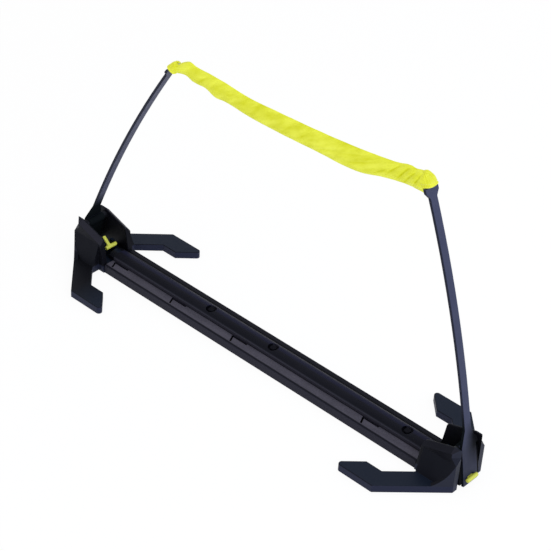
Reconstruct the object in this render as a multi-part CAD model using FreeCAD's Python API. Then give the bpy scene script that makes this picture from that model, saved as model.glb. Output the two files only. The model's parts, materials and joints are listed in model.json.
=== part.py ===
import FreeCAD, Part
import math
import os

# Speed hurdle: a floor rail, an end bracket with two cranked feet at each end, a bowed arm hinged
# in each bracket, rubber return straps and a gathered fabric band between the two arm heads.
# Millimetres, +X along the rail, +Z up, origin on the floor under the middle of the rail.

# Rail
rail_length = 494.0
rail_width = 48.8
rail_offset = 0.9
ledge_height = 11.3
ledge_round = 1.2
spine_width = 21.9
spine_offset = 2.6
spine_shoulder_height = 14.8
spine_crown_height = 18.6
rail_wall = 3.0
spine_roof = 8.0
rail_end_wall = 9.0
rib_thickness = 3.0
rib_pitch = 40.0
clip_slot_length = 24.0
clip_slot_width = 3.4
clip_slit_length = 10.0
clip_slit_width = 2.4
clip_slit_angle = 25.0
clip_slot_depth = 2.2
clip_pitch = 100.7
clip_first_x = -231.0
clip_steps = (0, 1, 2, 4)
recess_steps = (1, 2, 4)
recess_from_clip = 41.6
recess_diameter = 13.6
recess_depth = 4.0
recess_button_diameter = 7.6
recess_button_drop = 1.4

# Tongue and screws that hold a bracket on the rail's end
tongue_length = 21.0
tongue_width = 25.0
tongue_bottom = 3.8
tongue_thickness = 3.8
tongue_clearance = 0.15
screw_diameter = 3.2
screw_head_diameter = 6.6
screw_head_height = 1.8
screw_head_sunk = 0.5
screw_tip_gap = 0.4
screw_clearance = 0.1
screw_inset = 12.0
screw_spacing = 14.0
screw_slot_width = 1.0
screw_slot_depth = 0.9

# Brackets and feet
bracket_length = 53.0
slot_width = 35.0
cheek_thickness = 7.36
cheek_end_height = 55.6
cheek_inner_height = 43.2
cheek_flat_length = 9.0
cheek_inner_lean = 8.6
cheek_corner_round = 5.0
cheek_edge_round = 0.9
cheek_top_bevel = 5.6
skirt_run = 10.0
wing_thickness = 5.2
wing_height = 39.0
wing_run = 24.0
wing_mid_run = 8.0
wing_mid_height = 23.0
end_bevel_depth = 5.2
end_bevel_start = 37.0
end_bevel_full = 45.0
foot_thickness = 9.35
foot_reach = 86.75
foot_width = 23.5
foot_tip_width = 25.8
foot_notch_length = 21.5
foot_inset = 9.0
foot_inner_round = 4.0
foot_tip_round = 4.0
foot_edge_round = 0.9
floor_length = 29.0
saddle_length = 9.0
post_thickness = 5.0
post_width = 4.0
post_height = 26.0

# Hinges
hinge_from_end = 10.0
hinge_below_top = 8.6
pin_diameter = 5.0
pin_fit = 0.02
pin_running_clearance = 0.05
pin_blind_depth = 4.6
pin_end_gap = 0.2
spacer_diameter = 10.0
spacer_end_gap = 0.1

# Arms: u runs outwards from the hinge and w up the arm, before the arm leans in
arm_thickness = 3.2
arm_width = 10.4
heel_width = 24.0
heel_length = 46.0
heel_offset = 2.8
heel_wing_thickness = 8.4
heel_wing_top = 7.0
heel_wing_below_hole = 2.0
heel_wing_side_gap = 0.9
arm_bow_mid_length = 167.0
arm_bow_mid_offset = 0.2
arm_length = 307.6
arm_tip_offset = -18.25
hub_diameter = 11.0
flare_start = 3.5
flare_length = 19.0
shoulder_width = 19.6
shoulder_flare = 6.0
shoulder_height = 5.0
neck_width = 6.5
neck_length = 5.6
neck_bar_width = 11.0
neck_bar_height = 2.2
right_lean_angle = 13.1
left_lean_angle = 22.85

# Return straps
strap_width = 9.0
strap_thickness = 3.8
strap_neck_thickness = 3.2
strap_hole_clearance = 0.4
strap_hole_from_heel = 8.0
inner_bar_diameter = 5.0
inner_bar_length = 17.2
inner_bar_from_rail = 14.0
inner_bar_above_crown = 3.0
outer_bar_diameter = 5.6
outer_bar_length = 17.5
bar_seat_gap = 0.3
pull_tab_length = 13.0
pull_tab_width = 6.0
pull_tab_thickness = 3.6
pull_tab_angle = 42.0

# Band: its centre line starts a little above the middle of each neck and sags between them
band_rise = 5.9
band_sag = 16.8
band_end_gap = 0.3
band_height = 21.5
band_end_height = 14.5
band_thickness = 5.0
band_end_thickness = 7.0
band_edge_inset = 1.7
band_fold_depth = 1.5
band_fold_lift = 0.5
band_fold_twist_angle = 7.0
band_fold_count = 11
elastic_width = 12.0
elastic_thickness = 1.2
elastic_clearance = 0.3
loop_wall = 4.0
loop_clearance = 0.4
loop_end_gap = 0.4
loop_round = 3.0

# Places that follow from the sizes above
rail_end_x = rail_length / 2
rail_front_y = rail_offset - rail_width / 2
rail_back_y = rail_offset + rail_width / 2
spine_front_y = spine_offset - spine_width / 2
spine_back_y = spine_offset + spine_width / 2
bracket_end_x = rail_end_x + bracket_length
slot_half = slot_width / 2
cheek_outer_y = slot_half + cheek_thickness
outer_line = bracket_end_x + cheek_outer_y
inner_line = outer_line - foot_width * math.sqrt(2)
foot_tip_inner_y = foot_reach - foot_tip_width
tip_line = inner_line - foot_notch_length
foot_inner_x = rail_end_x + foot_inset
hinge_x = bracket_end_x - hinge_from_end
hinge_height = cheek_end_height - hinge_below_top
pin_radius = pin_diameter / 2
heel_half = heel_width / 2
strap_hole_w = strap_hole_from_heel - heel_length
strap_hole_height = strap_neck_thickness + 2 * strap_hole_clearance
heel_wing_bottom_w = strap_hole_w - strap_hole_height / 2 - heel_wing_below_hole
shoulder_w = arm_length - neck_bar_height - neck_length
neck_middle_w = shoulder_w + neck_length / 2
inner_bar_x = rail_end_x + inner_bar_from_rail
inner_bar_height = spine_crown_height + inner_bar_above_crown
post_x = inner_bar_x + inner_bar_diameter / 2 + bar_seat_gap
tall = 4 * cheek_end_height

x_axis = FreeCAD.Vector(1, 0, 0)
y_axis = FreeCAD.Vector(0, 1, 0)
z_axis = FreeCAD.Vector(0, 0, 1)


def point(x, y, z):
    return FreeCAD.Vector(x, y, z)


def outline(start, *steps):
    # A step is the end of a straight line, or a pair: a point on an arc and the arc's end
    edges = []
    here = start
    for step in steps:
        if isinstance(step, tuple):
            end = step[1]
            edges.append(Part.Arc(here, step[0], end).toShape())
        else:
            end = step
            edges.append(Part.LineSegment(here, end).toShape())
        here = end
    edges.append(Part.LineSegment(here, start).toShape())
    return Part.Wire(edges)


def prism(wire, along):
    return Part.Face(wire).extrude(along)


def block(x0, x1, y0, y1, z0, z1):
    return Part.makeBox(x1 - x0, y1 - y0, z1 - z0, point(x0, y0, z0))


def rod(radius, start, end):
    along = end - start
    return Part.makeCylinder(radius, along.Length, start, along)


def both_sides(shape):
    return shape.fuse(shape.mirror(point(0, 0, 0), y_axis))


def mirrored_end(shape):
    return shape.mirror(point(0, 0, 0), x_axis)


def edges_where(shape, test):
    return [edge for edge in shape.Edges if all(test(vertex.Point) for vertex in edge.Vertexes)]


def near(a, b):
    return abs(a - b) < 1e-4


def single(shape):
    clean = shape.removeSplitter()
    return clean.Solids[0] if len(clean.Solids) == 1 else clean


# Rail


def spine_wire(x):
    shoulder = spine_shoulder_height
    crown = spine_crown_height
    return outline(
        point(x, spine_front_y, 0),
        point(x, spine_front_y, shoulder),
        (point(x, spine_offset, crown), point(x, spine_back_y, shoulder)),
        point(x, spine_back_y, 0),
    )


def ledge_wire(x):
    soft = ledge_round * (1 - math.sqrt(0.5))
    front = rail_front_y
    back = rail_back_y
    top = ledge_height
    return outline(
        point(x, front, 0),
        point(x, front, top - ledge_round),
        (point(x, front + soft, top - soft), point(x, front + ledge_round, top)),
        point(x, back - ledge_round, top),
        (point(x, back - soft, top - soft), point(x, back, top - ledge_round)),
        point(x, back, 0),
    )


def rail_bays():
    # The hollows under the rail, between its end walls and its cross ribs
    limit = rail_end_x - rail_end_wall
    count = int(limit / rib_pitch)
    ribs = [k * rib_pitch for k in range(-count, count + 1)]
    ribs = [x for x in ribs if abs(x) < limit - rib_thickness]
    starts = [-limit] + [x + rib_thickness / 2 for x in ribs]
    ends = [x - rib_thickness / 2 for x in ribs] + [limit]
    under_ledges = (rail_front_y + rail_wall, rail_back_y - rail_wall)
    under_spine = (spine_front_y + rail_wall, spine_back_y - rail_wall)
    bays = []
    for start, end in zip(starts, ends):
        bays.append(block(start, end, *under_ledges, 0, ledge_height - rail_wall))
        bays.append(block(start, end, *under_spine, 0, spine_crown_height - spine_roof))
    return bays


def clip_slot(x):
    inner_y = spine_front_y
    bottom = ledge_height - clip_slot_depth
    half = clip_slot_length / 2
    bar = block(x - half, x + half, inner_y - clip_slot_width, inner_y, bottom, tall)
    slit = block(-clip_slit_width, 0, -clip_slit_length, 0, bottom, tall)
    slit.rotate(point(0, 0, 0), z_axis, clip_slit_angle)
    slit.translate(point(x - half + clip_slit_width, inner_y - clip_slot_width / 2, 0))
    keep = block(x - clip_slot_length, x + half, rail_front_y + rail_wall, inner_y, 0, tall)
    return bar.fuse(slit.common(keep))


def crown_recess(x):
    floor = spine_crown_height - recess_depth
    middle = point(x, spine_offset, floor)
    hole = rod(recess_diameter / 2, middle, point(x, spine_offset, tall))
    button_top = spine_crown_height - recess_button_drop
    button = rod(recess_button_diameter / 2, middle, point(x, spine_offset, button_top))
    return hole.cut(button)


def tongue_block(grow):
    half = tongue_width / 2 + grow
    return block(
        rail_end_x,
        rail_end_x + tongue_length + grow,
        -half,
        half,
        tongue_bottom - grow,
        tongue_bottom + tongue_thickness + grow,
    )


def screw_places():
    x = rail_end_x + screw_inset
    return [point(x, side * screw_spacing / 2, 0) for side in (-1, 1)]


def screw_shape(place, grow):
    head_top = screw_head_sunk + screw_head_height + grow
    head = rod(screw_head_diameter / 2 + grow, place + z_axis * screw_head_sunk, place + z_axis * head_top)
    tip = tongue_bottom + tongue_thickness - screw_tip_gap + grow
    return head.fuse(rod(screw_diameter / 2 + grow, place + z_axis * screw_head_sunk, place + z_axis * tip))


def screw_hole(place):
    mouth = rod(screw_head_diameter / 2 + screw_clearance, place - z_axis, place + z_axis)
    return screw_shape(place, screw_clearance).fuse(mouth)


def make_rail():
    run = point(rail_length, 0, 0)
    rail = prism(ledge_wire(-rail_end_x), run).fuse(prism(spine_wire(-rail_end_x), run))
    tongue = tongue_block(0)
    rail = rail.fuse([tongue, mirrored_end(tongue)])
    cuts = rail_bays()
    cuts += [clip_slot(clip_first_x + k * clip_pitch) for k in clip_steps]
    cuts += [crown_recess(clip_first_x + k * clip_pitch + recess_from_clip) for k in recess_steps]
    holes = [screw_hole(place) for place in screw_places()]
    cuts += holes + [mirrored_end(hole) for hole in holes]
    return single(rail.cut(cuts))


def make_screws():
    screws = []
    for place in screw_places():
        low = screw_head_sunk
        half = screw_head_diameter
        groove = block(
            place.x - half, place.x + half,
            place.y - screw_slot_width / 2, place.y + screw_slot_width / 2,
            low, low + screw_slot_depth,
        )
        screws.append(single(screw_shape(place, 0).cut(groove)))
    return Part.makeCompound(screws)


# Brackets


def on_wing(run, depth, z):
    # A place measured along the foot's outer edge, and inwards from its outer face
    root = math.sqrt(0.5)
    return point(bracket_end_x - (run + depth) * root, cheek_outer_y + (run - depth) * root, z)


def make_foot():
    foot = prism(
        outline(
            point(foot_inner_x, slot_half, 0),
            point(bracket_end_x, slot_half, 0),
            point(bracket_end_x, cheek_outer_y, 0),
            point(outer_line - foot_reach, foot_reach, 0),
            point(tip_line - foot_reach, foot_reach, 0),
            point(tip_line - foot_tip_inner_y, foot_tip_inner_y, 0),
            point(inner_line - foot_tip_inner_y, foot_tip_inner_y, 0),
            point(foot_inner_x, inner_line - foot_inner_x, 0),
        ),
        z_axis * foot_thickness,
    )
    tip_corner = edges_where(foot, lambda p: near(p.y, foot_reach) and near(p.x, tip_line - foot_reach))
    foot = foot.makeFillet(foot_tip_round, tip_corner)
    crook_y = inner_line - foot_inner_x
    crook = edges_where(foot, lambda p: near(p.x, foot_inner_x) and near(p.y, crook_y))
    foot = foot.makeFillet(foot_inner_round, crook)
    outside = cheek_outer_y + foot_edge_round
    rim = edges_where(foot, lambda p: near(p.z, foot_thickness) and p.y > outside)
    return foot.makeFillet(foot_edge_round, rim)


def cheek_top(y):
    # The top of a cheek from its outer end inwards: level at first, then sloping down
    lean = math.tan(math.radians(cheek_inner_lean))
    return [
        point(bracket_end_x, y, cheek_end_height),
        point(bracket_end_x - cheek_flat_length, y, cheek_end_height),
        point(rail_end_x + lean * cheek_inner_height, y, cheek_inner_height),
    ]


def cheek_wire(y):
    return outline(point(rail_end_x, y, 0), point(bracket_end_x, y, 0), *cheek_top(y))


def top_bevel(start, end):
    # What the slanted strip along the top of a cheek takes off, with room to spare at both ends
    reach = (end - start) * (tall / (end - start).Length)
    side = y_axis * cheek_top_bevel
    drop = z_axis * cheek_top_bevel
    corner = start - reach
    wire = outline(corner - side, corner + side - drop * 2, corner + side + drop, corner - side + drop)
    return prism(wire, reach * 2)


def make_cheek():
    cheek = prism(cheek_wire(slot_half), y_axis * cheek_thickness)
    corner = edges_where(cheek, lambda p: near(p.z, cheek_inner_height))
    cheek = cheek.makeFillet(cheek_corner_round, corner)
    top = cheek_top(cheek_outer_y)
    cheek = cheek.cut([top_bevel(top[0], top[1]), top_bevel(top[1], top[2])])
    low = cheek_inner_height - cheek_corner_round
    rim = edges_where(cheek, lambda p: p.z > low and near(p.y, slot_half))
    rim = [edge for edge in rim if not near(edge.Vertexes[0].X, edge.Vertexes[1].X)]
    return cheek.makeFillet(cheek_edge_round, rim)


def make_skirt():
    # The cheek's outer face slopes out to the foot, from just under the slanted strip along its top
    corner = point(foot_inner_x, cheek_outer_y, foot_thickness)
    rise = cheek_inner_height - cheek_top_bevel - foot_thickness
    return prism(
        outline(corner, corner + y_axis * skirt_run, corner + z_axis * rise),
        x_axis * (bracket_end_x - foot_inner_x),
    )


def make_wing():
    return prism(
        outline(
            on_wing(0, 0, foot_thickness / 2),
            on_wing(wing_run, 0, foot_thickness / 2),
            on_wing(wing_run, 0, foot_thickness),
            (on_wing(wing_mid_run, 0, wing_mid_height), on_wing(0, 0, wing_height)),
        ),
        on_wing(0, wing_thickness, 0) - on_wing(0, 0, 0),
    )


def end_bevel():
    side = 2 * cheek_thickness
    return prism(
        outline(
            on_wing(-side, -side, end_bevel_start),
            on_wing(-side, 0, end_bevel_start),
            on_wing(-side, end_bevel_depth, end_bevel_full),
            on_wing(-side, end_bevel_depth, tall),
            on_wing(-side, -side, tall),
        ),
        on_wing(side, 0, 0) - on_wing(-side, 0, 0),
    )


def beyond_foot():
    far = 2 * bracket_end_x
    return prism(
        outline(
            point(outer_line - slot_half, slot_half, -tall),
            point(outer_line - far, far, -tall),
            point(outer_line + far, far, -tall),
            point(outer_line + far, slot_half, -tall),
        ),
        z_axis * (2 * tall),
    )


def make_posts():
    half = strap_width / 2 + strap_hole_clearance
    return block(post_x, post_x + post_thickness, half, half + post_width, 0, post_height)


def pin_hole():
    front = point(hinge_x, -slot_half - pin_blind_depth, hinge_height)
    return rod(pin_radius + pin_fit, front, point(hinge_x, tall, hinge_height))


def make_bracket():
    side = make_foot().fuse([make_cheek(), make_skirt(), make_wing(), make_posts()])
    side = side.cut([beyond_foot(), end_bevel()])
    floor = block(rail_end_x, rail_end_x + floor_length, -slot_half, slot_half, 0, foot_thickness)
    saddle = prism(spine_wire(rail_end_x), x_axis * saddle_length)
    bracket = both_sides(side).fuse([floor, saddle])
    cuts = [tongue_block(tongue_clearance), pin_hole()]
    cuts += [screw_hole(place) for place in screw_places()]
    return single(bracket.cut(cuts))


# Hinge pins and spacers


def make_pin():
    front = -slot_half - pin_blind_depth + pin_end_gap
    back = cheek_outer_y - pin_end_gap
    return rod(pin_radius, point(hinge_x, front, hinge_height), point(hinge_x, back, hinge_height))


def make_spacers():
    near_y = heel_half + spacer_end_gap
    far_y = slot_half - spacer_end_gap
    spacers = []
    for side in (-1, 1):
        start = point(hinge_x, side * near_y, hinge_height)
        end = point(hinge_x, side * far_y, hinge_height)
        bore = rod(pin_radius + pin_running_clearance, start, end)
        spacers.append(rod(spacer_diameter / 2, start, end).cut(bore))
    return Part.makeCompound(spacers)


# Arms, first with the hinge at the origin and then leaned into place

bow = Part.Circle(
    point(heel_offset, 0, -heel_length),
    point(arm_bow_mid_offset, 0, arm_bow_mid_length),
    point(arm_tip_offset, 0, arm_length),
)


def bow_point(w, outward):
    # A place beside the arm's bowed centre line, at height w up the arm
    centre = bow.Center
    u = centre.x + math.sqrt(bow.Radius ** 2 - (w - centre.z) ** 2)
    radial = (point(u, 0, w) - centre).normalize()
    return point(u, 0, w) + radial * outward


def bow_tilt(w):
    radial = bow_point(w, 0) - bow.Center
    return math.degrees(math.atan2(radial.z, radial.x))


def arm_side_wire(y):
    half = arm_thickness / 2
    heights = (-heel_length, arm_bow_mid_length, arm_length)
    outer = [bow_point(w, half) + y_axis * y for w in heights]
    inner = [bow_point(w, -half) + y_axis * y for w in heights]
    return outline(outer[0], (outer[1], outer[2]), inner[2], (inner[1], inner[0]))


def arm_front_wire(u):
    half = arm_width / 2
    shoulder = shoulder_width / 2
    neck = neck_width / 2
    bar = neck_bar_width / 2
    bar_w = arm_length - neck_bar_height
    rise = [
        (heel_half, -2 * heel_length),
        (heel_half, flare_start),
        (half, flare_start + flare_length),
        (half, shoulder_w - shoulder_height - shoulder_flare),
        (shoulder, shoulder_w - shoulder_height),
        (shoulder, shoulder_w),
        (neck, shoulder_w),
        (neck, bar_w),
        (bar, bar_w),
        (bar, arm_length + neck_bar_height),
    ]
    right = [point(u, y, w) for y, w in rise]
    left = [point(u, -y, w) for y, w in reversed(rise)]
    return outline(*right, *left)


def make_heel_wings():
    # A thin shield behind the heel that nearly fills the slot's width
    half = slot_half - heel_wing_side_gap
    back = arm_thickness / 2 + heel_wing_thickness
    wire = outline(
        bow_point(heel_wing_bottom_w, 0),
        bow_point(-heel_wing_top, 0),
        bow_point(-heel_wing_top, -back),
        bow_point(heel_wing_bottom_w, -back),
    )
    wire.translate(y_axis * -half)
    return prism(wire, y_axis * (2 * half))


def make_arm():
    strip = prism(arm_side_wire(-heel_half), y_axis * heel_width)
    reach = heel_length + abs(arm_tip_offset)
    strip = strip.common(prism(arm_front_wire(-reach), x_axis * (2 * reach)))
    ends = (point(0, -heel_half, 0), point(0, heel_half, 0))
    arm = strip.fuse([rod(hub_diameter / 2, *ends), make_heel_wings()])
    bore = rod(pin_radius + pin_running_clearance, *ends)
    width = strap_width + 2 * strap_hole_clearance
    through_heel = (bow_point(strap_hole_w, -reach), bow_point(strap_hole_w, reach))
    hole = flat_bar(*through_heel, width, strap_hole_height)
    return single(arm.cut([bore, hole]))


def make_loop():
    # A ring of gathered cloth round the neck of the arm's head
    high = neck_length / 2 - loop_end_gap
    inner_y = neck_width / 2 + loop_clearance
    inner_u = arm_thickness / 2 + loop_clearance
    outer_y = inner_y + loop_wall
    outer_u = inner_u + loop_wall
    ring = block(-outer_u, outer_u, -outer_y, outer_y, -high, high)
    posts = edges_where(ring, lambda p: True)
    posts = [edge for edge in posts if near(edge.Vertexes[0].X, edge.Vertexes[1].X)]
    posts = [edge for edge in posts if near(edge.Vertexes[0].Y, edge.Vertexes[1].Y)]
    ring = ring.makeFillet(loop_round, posts)
    ring = ring.cut(block(-inner_u, inner_u, -inner_y, inner_y, -2 * high, 2 * high))
    ring.rotate(point(0, 0, 0), y_axis, -bow_tilt(neck_middle_w))
    ring.translate(bow_point(neck_middle_w, 0))
    return ring


def leaned(shape, lean):
    placed = shape.copy()
    placed.rotate(point(0, 0, 0), y_axis, -lean)
    placed.translate(point(hinge_x, 0, hinge_height))
    return placed


def mirrored_point(place):
    return point(-place.x, place.y, place.z)


def leaned_point(place, lean):
    turn = FreeCAD.Rotation(y_axis, -lean)
    return turn.multVec(place) + point(hinge_x, 0, hinge_height)


# Return straps


def flat_bar(start, end, width, thickness):
    # A straight bar of rubber between two places in the plane of the arm
    along = end - start
    side = along.cross(y_axis).normalize() * (thickness / 2)
    wide = y_axis * (width / 2)
    wire = outline(start + side - wide, start + side + wide, start - side + wide, start - side - wide)
    return prism(wire, along)


def cross_bar(place, diameter, length):
    return rod(diameter / 2, place - y_axis * (length / 2), place + y_axis * (length / 2))


def make_strap(lean):
    anchor = point(inner_bar_x, 0, inner_bar_height)
    face = arm_thickness / 2
    back = face + heel_wing_thickness + strap_neck_thickness
    heel_in = leaned_point(bow_point(strap_hole_w, -back), lean)
    heel_out = leaned_point(bow_point(strap_hole_w, face + bar_seat_gap + outer_bar_diameter / 2), lean)
    tab_angle = math.radians(pull_tab_angle)
    tab_end = anchor + point(math.cos(tab_angle), 0, math.sin(tab_angle)) * pull_tab_length
    strap = cross_bar(anchor, inner_bar_diameter, inner_bar_length)
    strap = strap.fuse([
        cross_bar(heel_out, outer_bar_diameter, outer_bar_length),
        flat_bar(anchor, heel_in, strap_width, strap_thickness),
        cross_bar(heel_in, strap_neck_thickness, strap_width),
        flat_bar(heel_in, heel_out, strap_width, strap_neck_thickness),
        flat_bar(anchor, tab_end, pull_tab_width, pull_tab_thickness),
        cross_bar(tab_end, pull_tab_thickness, pull_tab_width),
    ])
    return single(strap)


# Band


def band_end_x(lean, side):
    # How far out the sleeve's middle reaches, for its sloping end to stop short of the loop's corner
    high = neck_length / 2 - loop_end_gap
    wall = arm_thickness / 2 + loop_clearance + loop_wall
    tilt = math.radians(bow_tilt(neck_middle_w))
    corner = bow_point(neck_middle_w, -wall) + point(-math.sin(tilt), 0, math.cos(tilt)) * high
    corner = leaned_point(corner, lean)
    centre, up = band_frame(side * corner.x)
    end_slope = (centre.z - corner.z) * abs(up.x / up.z)
    return corner.x - band_end_gap - end_slope


def band_frame(x):
    # The band's centre at x, and the way up across the band there
    right = leaned_point(bow_point(neck_middle_w, 0), right_lean_angle)
    left = mirrored_point(leaned_point(bow_point(neck_middle_w, 0), left_lean_angle))
    span = right.x - left.x
    share = (x - left.x) / span
    chord = left.z + (right.z - left.z) * share
    height = chord + band_rise - 4 * band_sag * share * (1 - share)
    slope = math.atan((right.z - left.z - 4 * band_sag * (1 - 2 * share)) / span)
    up = point(-math.sin(slope), 0, math.cos(slope))
    return point(x, 0, height), up


def sleeve_section(x, height, front, back, twist):
    # An oval of four arcs: a full front, a full back and rounded edges
    centre, up = band_frame(x)
    turn = FreeCAD.Rotation(up.cross(y_axis), twist)
    tall_way = turn.multVec(up)
    deep_way = turn.multVec(y_axis)
    edge = height / 2 - band_edge_inset
    high = centre + tall_way * edge
    deep = centre - tall_way * edge
    top = [high - deep_way * (front / 2), high + deep_way * (back / 2)]
    low = [deep - deep_way * (front / 2), deep + deep_way * (back / 2)]
    arcs = [
        Part.Arc(top[0], centre - deep_way * front, low[0]),
        Part.Arc(low[0], centre - tall_way * (height / 2), low[1]),
        Part.Arc(low[1], centre + deep_way * back, top[1]),
        Part.Arc(top[1], centre + tall_way * (height / 2), top[0]),
    ]
    return Part.Wire([arc.toShape() for arc in arcs])


def sleeve_stations():
    start = -band_end_x(left_lean_angle, -1)
    end = band_end_x(right_lean_angle, 1)
    count = 2 * band_fold_count
    return [(start + (end - start) * k / count, k) for k in range(count + 1)]


def make_sleeve():
    sections = []
    stations = sleeve_stations()
    last = len(stations) - 1
    for x, k in stations:
        fold = 1 if k % 2 else -1
        at_end = k in (0, last)
        height = band_end_height if at_end else band_height + band_fold_lift * fold
        depth = band_end_thickness if at_end else band_thickness
        front = depth / 2 + (0 if at_end else band_fold_depth * (1 + fold) / 2)
        back = depth / 2 + (0 if at_end else band_fold_depth * (1 - fold) / 2)
        twist = 0 if at_end else band_fold_twist_angle * fold
        sections.append(sleeve_section(x, height, front, back, twist))
    sleeve = Part.makeLoft(sections, True, True)
    return single(sleeve.cut(elastic_loft(elastic_clearance)))


def elastic_loft(grow):
    sections = []
    half_wide = elastic_width / 2 + grow
    half_thick = elastic_thickness / 2 + grow
    for x, k in sleeve_stations():
        centre, up = band_frame(x)
        corners = [(-1, -1), (1, -1), (1, 1), (-1, 1)]
        corners = [centre + up * (a * half_wide) + y_axis * (b * half_thick) for a, b in corners]
        sections.append(outline(*corners))
    return Part.makeLoft(sections, True, True)


# All pieces, by node name


def make_pieces():
    bracket = make_bracket()
    pin = make_pin()
    spacers = make_spacers()
    screws = make_screws()
    arm = make_arm()
    loop = make_loop()
    return {
        "base_rail": make_rail(),
        "right_bracket": bracket,
        "left_bracket": mirrored_end(bracket),
        "right_bracket_screws": screws,
        "left_bracket_screws": mirrored_end(screws),
        "right_hinge_pin": pin,
        "left_hinge_pin": mirrored_end(pin),
        "right_hinge_spacers": spacers,
        "left_hinge_spacers": mirrored_end(spacers),
        "right_arm": leaned(arm, right_lean_angle),
        "left_arm": mirrored_end(leaned(arm, left_lean_angle)),
        "right_band_loop": leaned(loop, right_lean_angle),
        "left_band_loop": mirrored_end(leaned(loop, left_lean_angle)),
        "right_return_strap": make_strap(right_lean_angle),
        "left_return_strap": mirrored_end(make_strap(left_lean_angle)),
        "band_sleeve": make_sleeve(),
        "band_elastic": elastic_loft(0),
    }


os.makedirs("parts", exist_ok=True)
for node, shape in make_pieces().items():
    shape.exportStep("parts/" + node + ".step")
    box = shape.BoundBox
    size = [round(v, 2) for v in (box.XMin, box.XMax, box.YMin, box.YMax, box.ZMin, box.ZMax)]
    print(node, len(shape.Solids), shape.isValid(), round(shape.Volume), size)
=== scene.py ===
# Speed hurdle: floor rail, two footed end brackets, two bowed arms and a gathered yellow band.
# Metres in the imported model's own frame: +X along the rail, +Y to the rear, +Z up.
import bpy
import bmesh
import json
import math
import numpy as np
from mathutils import Matrix, Vector, noise


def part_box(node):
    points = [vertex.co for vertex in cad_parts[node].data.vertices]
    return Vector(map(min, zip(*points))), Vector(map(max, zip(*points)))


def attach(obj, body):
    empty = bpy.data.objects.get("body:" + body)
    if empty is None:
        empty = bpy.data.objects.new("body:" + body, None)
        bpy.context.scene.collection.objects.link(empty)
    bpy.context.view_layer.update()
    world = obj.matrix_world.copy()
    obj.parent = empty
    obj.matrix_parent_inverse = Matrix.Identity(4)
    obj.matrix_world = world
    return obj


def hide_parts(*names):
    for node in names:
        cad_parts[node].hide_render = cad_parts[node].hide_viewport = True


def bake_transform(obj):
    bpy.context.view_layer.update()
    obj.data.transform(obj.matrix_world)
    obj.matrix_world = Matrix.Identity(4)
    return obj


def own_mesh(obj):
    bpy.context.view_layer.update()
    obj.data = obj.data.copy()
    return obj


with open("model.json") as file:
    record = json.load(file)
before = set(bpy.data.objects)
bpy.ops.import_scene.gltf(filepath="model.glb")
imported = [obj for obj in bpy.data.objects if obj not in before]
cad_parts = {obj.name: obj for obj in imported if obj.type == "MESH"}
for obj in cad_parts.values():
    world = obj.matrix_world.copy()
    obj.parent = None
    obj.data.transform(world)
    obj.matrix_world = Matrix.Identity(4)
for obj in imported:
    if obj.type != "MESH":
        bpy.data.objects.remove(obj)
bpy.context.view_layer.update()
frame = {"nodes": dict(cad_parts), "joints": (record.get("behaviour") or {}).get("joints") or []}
nodes = frame["nodes"]
joints = {joint["name"]: joint for joint in frame["joints"]}
mm = 0.001
print("frame loaded:", len(nodes), "nodes")


# Small helpers

def hexToLinear(code):
    parts = [int(code[k:k + 2], 16) / 255 for k in (1, 3, 5)]
    linear = [c / 12.92 if c <= 0.04045 else ((c + 0.055) / 1.055) ** 2.4 for c in parts]
    return (*linear, 1.0)


def addNode(tree, kind, inputs=None, **settings):
    # one node with its settings; an input is a value or another node's output
    node = tree.nodes.new(kind)
    for name, value in settings.items():
        setattr(node, name, value)
    for key, value in (inputs or {}).items():
        if isinstance(value, bpy.types.NodeSocket):
            tree.links.new(value, node.inputs[key])
        else:
            node.inputs[key].default_value = value
    return node


def newMaterial(name):
    material = bpy.data.materials.new(name)
    material.use_nodes = True
    tree = material.node_tree
    shader = tree.nodes["Principled BSDF"]
    return material, tree, shader


def perSize(sizeMm):
    # a texture's scale for a pattern of that size on Object coordinates, which are metres
    return 1 / (sizeMm * mm)


def addObject(name, data):
    made = bpy.data.objects.new(name, data)
    bpy.context.scene.collection.objects.link(made)
    return made


def smoothPath(points, shares):
    # heights read off a smooth curve through a few (share, height) points
    xs = np.array([p[0] for p in points])
    ys = np.array([p[1] for p in points])
    slope = np.gradient(ys, xs)
    k = np.clip(np.searchsorted(xs, shares) - 1, 0, len(xs) - 2)
    step = xs[k + 1] - xs[k]
    t = (shares - xs[k]) / step
    rise = ys[k + 1] - ys[k]
    cubic = slope[k] * step + slope[k + 1] * step - 2 * rise
    square = 3 * rise - 2 * slope[k] * step - slope[k + 1] * step
    return ys[k] + t * (slope[k] * step + t * (square + t * cubic))


def meshFromGrid(name, grid, uvSize, wrapRows=False, wrapColumns=False):
    # grid is rows x columns x 3; uvSize is the cloth's size in metres along and across
    rows, columns = grid.shape[:2]
    rowSteps = rows if wrapRows else rows - 1
    columnSteps = columns if wrapColumns else columns - 1
    faces, corners = [], []
    for i in range(rowSteps):
        for j in range(columnSteps):
            ring = [(i, j), (i + 1, j), (i + 1, j + 1), (i, j + 1)]
            faces.append([(r % rows) * columns + c % columns for r, c in ring])
            corners += ring
    mesh = bpy.data.meshes.new(name)
    mesh.from_pydata([tuple(p) for p in grid.reshape(-1, 3)], [], faces)
    uv = mesh.uv_layers.new(name="cloth")
    for loop, (r, c) in zip(uv.data, corners):
        loop.uv = (r / rowSteps * uvSize[0], c / columnSteps * uvSize[1])
    faceOutwards(mesh)
    mesh.shade_smooth()
    return addObject(name, mesh)


def faceOutwards(mesh, closeEnds=False):
    work = bmesh.new()
    work.from_mesh(mesh)
    if closeEnds:
        bmesh.ops.holes_fill(work, edges=[e for e in work.edges if e.is_boundary], sides=0)
    bmesh.ops.recalc_face_normals(work, faces=work.faces)
    work.to_mesh(mesh)
    work.free()


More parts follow.
